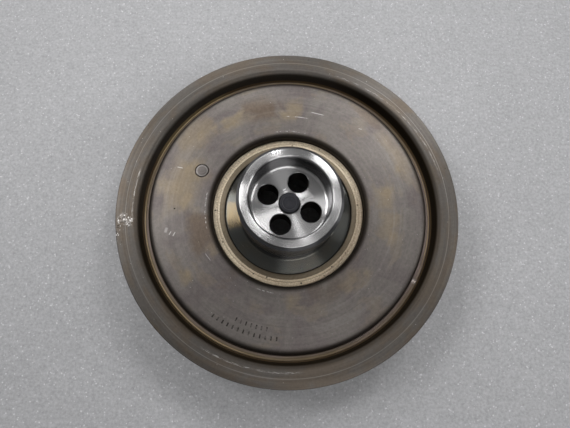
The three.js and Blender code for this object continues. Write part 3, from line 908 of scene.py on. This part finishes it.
def screw_material():
    """Black oxide, rubbed bright on the sockets' and heads' edges."""
    s = Surface("black_oxide_steel")
    c = colours()
    grain = s.noise(s.place, 500.0, 4.0, 0.6)
    knurl = s.noise(s.place, 1800.0, 2.0)
    rubbed = s.step(s.z, 2.2 * MM, 1.2 * MM) * s.step(grain, 0.5, 0.68)
    base = s.blend(rubbed * 0.5, s.blend(grain, c.black_oxide, (0.06, 0.055, 0.05)), (0.30, 0.29, 0.28))
    return s.finish(base, 0.38 + grain * 0.2, s.bump(knurl, 0.02 * MM, 0.5), metallic=0.85)


def plain_metal(name, base_colour, second, rough, anisotropy=0.3):
    """A turned metal for pieces inside the casing and for ground pins."""
    s = Surface(name)
    marks = s.turning(3.0, 2400.0)
    clouds = s.noise(s.place, 40.0, 4.0)
    base = s.blend(marks * 0.5 + clouds * 0.5, base_colour, second)
    return s.finish(base, rough + clouds * 0.15, s.bump(marks, 0.02 * MM, 0.5), anisotropy=anisotropy)


def slide_ring_material():
    """Bearing plastic filled with bronze powder."""
    s = Surface("bronze_filled_plastic")
    grains = s.step(s.speckle(1600.0), 0.35, 0.2)
    base = s.blend(grains * 0.5, (0.17, 0.125, 0.09), (0.42, 0.30, 0.17))
    return s.finish(base, 0.55, s.bump(grains, 0.02 * MM, 0.4), metallic=0.1)


def floor_material():
    """Pale grey board with fine light and dark grains, which glows faintly beyond the lights' reach."""
    s = Surface("pale_floor")
    c = colours()
    grain = s.noise(s.place, 430.0, 3.0, 0.7)
    mottle = s.noise(s.place, 130.0, 3.0, 0.6)
    clouds = s.noise(s.place, 14.0, 3.0)
    tone = 0.28 + grain * 0.92 + mottle * 0.34 + clouds * 0.14
    base = s.scaled(c.floor, tone)
    flecks = s.specks(400.0, 0.32, 0.16, 290.0, 0.50, 0.58)
    base = s.blend(flecks * 0.50, base, (0.85, 0.85, 0.87))
    pores = s.step(s.speckle(380.0, 5.0), 0.22, 0.12) * s.step(mottle, 0.50, 0.58)
    base = s.blend(pores * 0.45, base, (0.28, 0.28, 0.29))
    glow = s.scaled(base, s.step(s.radius, 0.40, 1.2) * 0.75)
    return s.finish(base, 0.55, s.bump(grain + mottle, 0.25 * MM, 0.5), metallic=0.0, glow=glow)


# ---- pieces ----


class DAMPER_OT_casing(bpy.types.Operator):
    """Turns the channel-shaped casing, drills it and chips its rim"""

    bl_idname = "damper.casing"
    bl_label = "Damper Casing"

    def execute(self, context):
        s = sizes()
        edge = s.edge_round
        rim = CASING_HIGH.z
        outer = CASING_HIGH.x
        flat = s.rim_inner
        top = INNER_SEAM_HIGH.z
        step = 0.10 * MM
        step_half_width = 0.40 * MM
        recess_round = 1.5 * MM
        outline = [
            (s.flange_bore, s.flange_back),
            *arc(s.screw_recess - recess_round, s.flange_back - recess_round, recess_round, 90, 0, 4),
            *arc(s.screw_recess + edge, edge, edge, 180, 270, 4),
            (s.back_recess_inner, 0),
            (s.back_recess_inner + s.back_recess_depth, s.back_recess_depth),
            (s.back_recess_outer - s.back_recess_depth, s.back_recess_depth),
            (s.back_recess_outer, 0),
            *arc(outer - edge, edge, edge, -90, 0, 4),
            *arc(outer - edge, rim - edge, edge, 0, 90, 4),
            (s.rim_line + step_half_width, rim),
            (s.rim_line - step_half_width, rim - step),
            *arc(flat, rim - step - s.rim_roll, s.rim_roll, 90, 172, 10),
            (s.groove_wall, s.cover_foot_top + 1.5 * MM),
            (s.groove_wall, s.cover_ledge),
            (s.cavity_radius, s.cover_ledge),
            (s.cavity_radius, s.cavity_floor),
            (s.inner_wall_outside, s.cavity_floor),
            (s.inner_wall_outside, INNER_SEAM_LOW.z - s.piece_gap),
            (s.seam_pocket, INNER_SEAM_LOW.z - s.piece_gap),
            *arc(s.seam_pocket - 0.2 * MM, top - 0.2 * MM, 0.2 * MM, 0, 90, 3),
            *arc(s.inner_wall_inside + 0.35 * MM, top - 0.35 * MM, 0.35 * MM, 90, 180, 4),
            (s.inner_wall_inside, s.flange_front),
            (s.flange_bore, s.flange_front),
        ]
        casing = turned("casing", outline, s.round_steps)
        tools = flange_drills(s, s.flange_back - MM, s.flange_front + MM)
        shoulder = s.balance_depth - 0.1 * MM
        point = s.balance_depth + 2.2 * MM
        bit = [(0, -MM), (s.balance_radius, -MM), (s.balance_radius, shoulder), (0, point)]
        for degrees in BALANCE_ANGLES:
            tools.append(move_to(turned("drill", bit, s.small_steps), *polar(s.balance_pitch, degrees)))
        tools += [self.gouge(rim, *place) for place in RIM_GOUGES]
        cut(casing, tools)
        finish_piece(casing, "damper", "damper_casing", casing_material())
        return {"FINISHED"}

    def gouge(self, rim, radius, degrees, length, width, depth):
        """A faceted lump that leaves one dent where it sinks into the rim."""
        x, y = polar(radius * MM, degrees)
        lie = math.radians(1.7 * degrees + 40 * radius)
        bpy.ops.object.select_all(action="DESELECT")
        bpy.ops.mesh.primitive_ico_sphere_add(
            subdivisions=2, radius=MM, location=(x, y, rim), rotation=(0, 0, lie)
        )
        bpy.ops.object.mode_set(mode="EDIT")
        bpy.ops.mesh.select_all(action="SELECT")
        bpy.ops.transform.resize(value=(length, width, depth), orient_type="LOCAL")
        bpy.ops.transform.vertex_random(offset=0.12 * MM, seed=int(abs(degrees) * 10) % 97)
        bpy.ops.object.mode_set(mode="OBJECT")
        return bpy.context.object


class DAMPER_OT_cover(bpy.types.Operator):
    """Presses the front cover, with both edges rolled down and a hole for the plug"""

    bl_idname = "damper.cover"
    bl_label = "Front Cover"

    def execute(self, context):
        s = sizes()
        top = COVER_HIGH.z
        under = top - s.sheet
        foot = s.cover_foot_top
        roll = s.cover_inner_roll
        shoulder = s.cover_wall - s.cover_shoulder
        inner_foot = COVER_LOW.z + 2 * MM
        corner = 0.8 * MM
        outline = [
            (s.cover_bore, inner_foot),
            (s.cover_bore + s.sheet, inner_foot),
            (s.cover_bore + s.sheet, under - MM),
            (s.cover_bore + s.sheet + MM, under),
            (shoulder, under),
            *arc(shoulder, top - s.cover_shoulder, s.cover_shoulder - s.sheet, 90, 0, 4),
            (s.cover_wall - s.sheet, COVER_LOW.z),
            (COVER_HIGH.x, COVER_LOW.z),
            (COVER_HIGH.x, foot),
            *arc(s.cover_wall + corner, foot + corner, corner, 270, 180, 4),
            *arc(shoulder, top - s.cover_shoulder, s.cover_shoulder, 0, 90, 12),
            *arc(s.cover_bore + roll, top - roll, roll, 90, 180, 10),
        ]
        cover = turned("cover", outline, s.round_steps)
        radius = (PLUG_HIGH.x - PLUG_LOW.x) / 2 + s.piece_gap
        hole = drill(radius, under - MM, top, 0.25 * MM, s.small_steps)
        cut(cover, [move_to(hole, *PLUG_MIDDLE)])
        finish_piece(cover, "damper", "front_cover", cover_material())
        return {"FINISHED"}


class DAMPER_OT_seams(bpy.types.Operator):
    """Lays the two circular weld seams that seal the cover to the casing"""

    bl_idname = "damper.seams"
    bl_label = "Weld Seams"

    def execute(self, context):
        self.lay_inner_seam()
        self.lay_outer_seam()
        return {"FINISHED"}

    def lay_inner_seam(self):
        """A flat-topped bead whose face is left rough."""
        s = sizes()
        inner = s.seam_pocket + 0.03 * MM
        outer = INNER_SEAM_HIGH.x
        top = INNER_SEAM_HIGH.z - 0.12 * MM
        width = outer - inner
        crown = []
        rows = 12
        for i in range(rows + 1):
            share = i / rows
            crown.append((outer - width * share, top - 0.45 * MM * (2 * share - 1) ** 4))
        outline = [(inner, INNER_SEAM_LOW.z), (outer, INNER_SEAM_LOW.z), *crown]
        seam = turned("inner_seam", outline, 2 * s.round_steps)
        self.roughen(seam, 0.9 * MM, 0.22 * MM, top - 0.6 * MM)
        finish_piece(seam, "damper", "inner_weld_seam", seam_material(), SHARP_BEAD_EDGE)

    def lay_outer_seam(self):
        """A ridged bead round the groove, with one end lapped over its start."""
        s = sizes()
        inner = s.cover_wall + 0.5 * MM
        outer = OUTER_SEAM_HIGH.x
        low = OUTER_SEAM_LOW.z
        top = OUTER_SEAM_HIGH.z
        outline = [(inner, low), (outer, low), *ridged_crown(inner, outer, low + 0.5 * MM, top)]
        seam = turned("outer_seam", outline, 2 * s.round_steps)
        for vertex in seam.data.vertices:
            turn = math.degrees(math.atan2(vertex.co.y, vertex.co.x)) - BEAD_END_ANGLE
            lap = (turn % 360) / 360
            sunk = BEAD_LAP * (1 - lap) ** 2 + BEAD_LAP * 0.5 * math.exp(-((lap - 0.02) / 0.008) ** 2)
            if vertex.co.z > low + 0.4 * MM:
                vertex.co.z -= min(sunk, vertex.co.z - low - 0.3 * MM)
        material = groove_seam_material()
        finish_piece(seam, "damper", "outer_weld_seam", material, SHARP_BEAD_EDGE)

    def roughen(self, piece, grain, depth, above):
        """Moves the upper face along its normals by a clouds texture, as a solidified bead is uneven."""
        texture = bpy.data.textures.new("bead_clouds", type="CLOUDS")
        texture.noise_scale = grain
        group = piece.vertex_groups.new(name="crown")
        group.add([v.index for v in piece.data.vertices if v.co.z > above], 1.0, "REPLACE")
        bpy.ops.object.modifier_add(type="DISPLACE")
        modifier = piece.modifiers[-1]
        modifier.texture = texture
        modifier.texture_coords = "LOCAL"
        modifier.vertex_group = group.name
        modifier.strength = depth
        modifier.mid_level = 1.0
        bpy.ops.object.modifier_apply(modifier=modifier.name)
        piece.vertex_groups.clear()


def ridged_crown(inner, outer, edge, top):
    """The crown of a bead from its outer to its inner edge, with fine ridges along it."""
    rows = 28
    points = []
    for i in range(rows + 1):
        share = i / rows
        across = 2 * share - 1
        height = edge + (top - edge - 0.10 * MM) * (1 - across**4) ** 0.6
        ridge = 0.09 * MM * math.cos(4 * math.tau * share) * (1 - across**2)
        points.append((outer + (inner - outer) * share, height + ridge))
    return points


class DAMPER_OT_plug(bpy.types.Operator):
    """Makes the flush fill plug"""

    bl_idname = "damper.plug"
    bl_label = "Fill Plug"

    def execute(self, context):
        s = sizes()
        radius = (PLUG_HIGH.x - PLUG_LOW.x) / 2
        top = PLUG_HIGH.z
        edge = 0.35 * MM
        outline = [
            (0, PLUG_LOW.z),
            (radius, PLUG_LOW.z),
            *arc(radius - edge, top - edge, edge, 0, 90, 4),
            (0.25 * radius, top - 0.06 * MM),
            (0, top - 0.07 * MM),
        ]
        plug = turned("plug", outline, s.small_steps)
        move_to(plug, *PLUG_MIDDLE)
        finish_piece(plug, "damper", "fill_plug", plug_material())
        return {"FINISHED"}


class DAMPER_OT_hub(bpy.types.Operator):
    """Turns the crank hub and drills its bolt, screw and dowel holes"""

    bl_idname = "damper.hub"
    bl_label = "Crank Hub"

    def execute(self, context):
        s = sizes()
        edge = s.edge_round
        top = HUB_HIGH.z
        low = HUB_LOW.z
        plate = HUB_HIGH.x
        bore = s.cup_mouth - s.cup_chamfer
        pin = PIN_HIGH.x + s.piece_gap
        blend = 0.4 * MM
        root = 1.5 * MM
        chamfer_foot = s.nose_radius - s.nose_chamfer - 0.1 * MM
        outline = [
            (s.rear_bore, low + edge),
            (s.rear_bore + edge, low),
            *arc(s.spigot_radius - edge, low + edge, edge, -90, 0, 4),
            (s.spigot_radius, s.plate_bottom),
            (plate, s.plate_bottom),
            *arc(plate - blend, s.plate_top - blend, blend, 0, 90, 4),
            *arc(s.nose_radius + root, s.plate_top + root, root, 270, 180, 6),
            (s.nose_radius, s.relief_low - blend),
            *arc(s.relief_radius + blend, s.relief_low + blend, blend, 240, 180, 3),
            *arc(s.relief_radius + blend, s.relief_high - blend, blend, 180, 120, 3),
            (s.nose_radius, s.relief_high + blend),
            *arc(s.nose_radius - blend, top - s.nose_chamfer - 0.1 * MM, blend, 0, 45, 3),
            *arc(chamfer_foot, top - 0.3 * MM, 0.3 * MM, 45, 90, 3),
            *arc(s.cup_mouth + 0.2 * MM, top - 0.2 * MM, 0.2 * MM, 90, 135, 3),
            (bore, top - s.cup_chamfer - 0.1 * MM),
            *arc(bore - s.cup_fillet, s.cup_floor + s.cup_fillet, s.cup_fillet, 0, -90, 8),
            (pin + 0.3 * MM, s.cup_floor),
            (pin, s.cup_floor - 0.3 * MM),
            (pin, s.bolt_seat),
            (s.rear_bore, s.bolt_seat),
        ]
        hub = turned("hub", outline, s.round_steps)
        tools = flange_drills(s, s.plate_bottom - MM, None)
        for i in range(BOLT_COUNT):
            hole = drill(s.bolt_hole, s.bolt_seat - MM, s.cup_floor, 0.3 * MM, s.small_steps)
            tools.append(move_to(hole, *polar(s.bolt_pitch, BOLT_ANGLE + 360 * i / BOLT_COUNT)))
        cut(hub, tools)
        finish_piece(hub, "damper", "crank_hub", hub_material())
        return {"FINISHED"}


class DAMPER_OT_pin(bpy.types.Operator):
    """Makes the dished pin in the middle of the cup"""

    bl_idname = "damper.pin"
    bl_label = "Centre Pin"

    def execute(self, context):
        s = sizes()
        radius = PIN_HIGH.x
        top = PIN_HIGH.z
        chamfer = 0.8 * MM
        edge = 0.95 * MM
        outline = [
            (0, PIN_LOW.z),
            (radius - chamfer, PIN_LOW.z),
            (radius, PIN_LOW.z + chamfer),
            (radius, top - edge),
            *arc(radius - edge, top - edge, edge, 20, 90, 5),
            (5.3 * MM, top),
            (5.0 * MM, top - 0.35 * MM),
            (1.3 * MM, top - 0.30 * MM),
            (0, top - 0.55 * MM),
        ]
        pin = turned("pin", outline, s.small_steps)
        finish_piece(pin, "damper", "centre_pin", pin_material())
        return {"FINISHED"}


class DAMPER_OT_fasteners(bpy.types.Operator):
    """Makes one socket screw and one dowel and copies them round the hub"""

    bl_idname = "damper.fasteners"
    bl_label = "Screws and Dowels"

    def execute(self, context):
        s = sizes()
        material = screw_material()
        first = self.make_screw(s)
        for i in range(1, SCREW_COUNT):
            twin = copy_of(first, "screw_%d" % (i + 1))
            turn_about_axis(twin, 360 / SCREW_COUNT * i)
            finish_piece(twin, "damper", "hub_screw_%d" % (i + 1), material)
        finish_piece(first, "damper", "hub_screw_1", material)
        steel = plain_metal("ground_steel", (0.50, 0.50, 0.49), (0.36, 0.35, 0.34), 0.24)
        pin = self.make_dowel(s)
        turn_about_axis(pin, DOWEL_ANGLE)
        twin = copy_of(pin, "dowel_2")
        turn_about_axis(twin, 180)
        finish_piece(twin, "damper", "dowel_pin_2", steel)
        finish_piece(pin, "damper", "dowel_pin_1", steel)
        return {"FINISHED"}

    def make_screw(self, s):
        """The first screw at its place, head down, with a flared six-sided socket."""
        radius = SCREW_HIGH.y
        low = SCREW_LOW.z
        head_top = s.flange_back - s.piece_gap
        head_round = 0.6 * MM
        tip = SCREW_HIGH.z
        outline = [
            (0, low),
            *arc(radius - head_round, low + head_round, head_round, -90, 0, 4),
            (radius, head_top - 0.2 * MM),
            (radius - 0.2 * MM, head_top),
            (s.screw_shank, head_top),
            (s.screw_shank, tip - MM),
            (s.screw_shank - MM, tip),
            (0, tip),
        ]
        screw = turned("screw_1", outline, s.small_steps)
        bpy.ops.object.select_all(action="DESELECT")
        bpy.ops.mesh.primitive_cylinder_add(
            vertices=6,
            radius=SOCKET_RADIUS,
            depth=2 * SOCKET_DEPTH,
            location=(0, 0, low),
            rotation=(0, 0, math.radians(15)),
        )
        cut(screw, [bpy.context.object])
        mouth = low + 0.35 * MM
        flare = [(0, low - MM), (4.2 * MM, low - MM), (3.2 * MM, mouth), (0, mouth)]
        cut(screw, [turned("drill", flare, s.small_steps)])
        return move_to(screw, SCREW_PITCH, 0)

    def make_dowel(self, s):
        """A dowel on the screws' pitch circle, at angle 0."""
        radius = (DOWEL_HIGH.x - DOWEL_LOW.x) / 2
        edge = 0.5 * MM
        outline = [
            (0, DOWEL_LOW.z),
            *arc(radius - edge, DOWEL_LOW.z + edge, edge, -90, 0, 4),
            *arc(radius - edge, DOWEL_HIGH.z - edge, edge, 0, 90, 4),
            (0, DOWEL_HIGH.z),
        ]
        return move_to(turned("dowel_1", outline, s.small_steps), SCREW_PITCH, 0)


class DAMPER_OT_inertia(bpy.types.Operator):
    """Gives the ring, bush and slide rings inside the casing their finishes"""

    bl_idname = "damper.inertia"
    bl_label = "Inertia Ring and Bearings"

    def execute(self, context):
        c = colours()
        slide = slide_ring_material()
        finishes = {
            "inertia_ring": plain_metal("machined_iron", c.iron, (0.11, 0.105, 0.10), 0.42),
            "radial_bush": plain_metal("turned_bronze", c.bronze, (0.36, 0.21, 0.09), 0.30),
            "front_slide_ring": slide,
            "rear_slide_ring": slide,
        }
        for node, material in finishes.items():
            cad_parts[node].material_slots[0].material = material
        return {"FINISHED"}


# ---- stage ----


# The floor's side in metres, and the hair's breadth between it and the damper's back face.
FLOOR_SIZE = 60
FLOOR_GAP = 0.02 * MM

SOFTBOXES = (
    # name, azimuth and elevation in degrees, distance and side in metres, power in watts
    ("right_key", 54, 50, 1.00, 0.30, 2.9),
    ("left_key", 155, 52, 1.00, 0.30, 2.8),
    ("back_strip", 99, 45, 0.80, 0.08, 0.7),
    ("right_fill", 0, 35, 1.00, 0.40, 1.6),
    ("back_fill", 120, 35, 1.00, 0.40, 1.3),
    ("front_fill", 290, 52, 1.10, 0.60, 2.3),
)


class DAMPER_OT_stage(bpy.types.Operator):
    """Sets the floor, the soft lights and the camera"""

    bl_idname = "damper.stage"
    bl_label = "Stage"

    def execute(self, context):
        self.lay_floor()
        self.set_sky()
        for softbox in SOFTBOXES:
            self.hang(*softbox)
        self.place_camera()
        context.scene.view_settings.view_transform = "Standard"
        return {"FINISHED"}

    def lay_floor(self):
        bpy.ops.object.select_all(action="DESELECT")
        bpy.ops.mesh.primitive_plane_add(size=FLOOR_SIZE, location=(0, 0, -FLOOR_GAP))
        floor = bpy.context.object
        floor.name = "floor"
        floor.data.materials.append(floor_material())

    def set_sky(self):
        """A pale room round the damper, lit by a soft glow overhead that fades towards the horizon."""
        world = bpy.data.worlds.new("studio")
        bpy.context.scene.world = world
        world.use_nodes = True
        tree = world.node_tree
        tree.nodes.clear()
        direction = add_node(tree, "ShaderNodeTexCoord", output="Generated")
        height = add_node(tree, "ShaderNodeSeparateXYZ", {}, {0: direction}, 2)
        stops = [(0.0, 0.06), (0.35, 0.08), (0.70, 0.14), (1.0, 0.20)]
        sky = add_node(tree, "ShaderNodeValToRGB", {"stops": stops}, {0: height})
        wall_stops = [(0.0, 0.38), (1.0, 0.52)]
        wall = add_node(tree, "ShaderNodeValToRGB", {"stops": wall_stops}, {0: height})
        seen = add_node(tree, "ShaderNodeLightPath", output="Is Camera Ray")
        shown = add_node(tree, "ShaderNodeMix", {"data_type": "RGBA"}, {0: seen, 6: sky, 7: wall}, 2)
        shader = add_node(tree, "ShaderNodeBackground", {}, {"Color": shown, "Strength": 1.0})
        add_node(tree, "ShaderNodeOutputWorld", {}, {"Surface": shader})

    def hang(self, name, azimuth, elevation, distance, side, power):
        """Hangs one softbox that faces the damper."""
        around = math.radians(azimuth)
        up = math.radians(elevation)
        flat = distance * math.cos(up)
        place = Vector((flat * math.cos(around), flat * math.sin(around), distance * math.sin(up)))
        bpy.ops.object.light_add(type="AREA", location=place)
        lamp = bpy.context.object
        lamp.name = name
        lamp.data.size = side
        lamp.data.energy = power
        lamp.rotation_euler = (-place).to_track_quat("-Z", "Y").to_euler()

    def place_camera(self):
        """Above the damper and a little in front, at a distance that goes with the damper's radius."""
        reach = CASING_HIGH.x
        level = INNER_SEAM_HIGH.z
        bpy.ops.object.camera_add(location=(-0.0935 * reach, -0.5885 * reach, 2.498 * reach + level))
        camera = bpy.context.object
        camera.name = "camera"
        camera.rotation_euler = (math.radians(12.832), math.radians(-1.605), math.radians(-0.366))
        camera.data.sensor_width = 36
        camera.data.lens = 27.03
        camera.data.clip_start = 0.01
        bpy.context.scene.camera = camera


# ---- add-on ----

BUILD_ORDER = (
    DAMPER_OT_stage,
    DAMPER_OT_casing,
    DAMPER_OT_cover,
    DAMPER_OT_seams,
    DAMPER_OT_plug,
    DAMPER_OT_hub,
    DAMPER_OT_pin,
    DAMPER_OT_fasteners,
    DAMPER_OT_inertia,
)


class DAMPER_PT_panel(bpy.types.Panel):
    """Lists the pieces of the damper in the sidebar"""

    bl_idname = "DAMPER_PT_panel"
    bl_label = "Crankshaft Damper"
    bl_space_type = "VIEW_3D"
    bl_region_type = "UI"
    bl_category = "Damper"

    def draw(self, context):
        for operator in BUILD_ORDER:
            self.layout.operator(operator.bl_idname)


CLASSES = (DamperSizes, DamperColours, *BUILD_ORDER, DAMPER_PT_panel)


def register():
    for item in CLASSES:
        bpy.utils.register_class(item)
    bpy.types.Scene.damper_sizes = PointerProperty(type=DamperSizes)
    bpy.types.Scene.damper_colours = PointerProperty(type=DamperColours)


def unregister():
    del bpy.types.Scene.damper_colours
    del bpy.types.Scene.damper_sizes
    for item in reversed(CLASSES):
        bpy.utils.unregister_class(item)


def main():
    register()
    bpy.ops.damper.stage()
    bpy.ops.damper.casing()
    bpy.ops.damper.cover()
    bpy.ops.damper.seams()
    bpy.ops.damper.plug()
    bpy.ops.damper.hub()
    bpy.ops.damper.pin()
    bpy.ops.damper.fasteners()
    bpy.ops.damper.inertia()


if __name__ == "__main__":
    main()
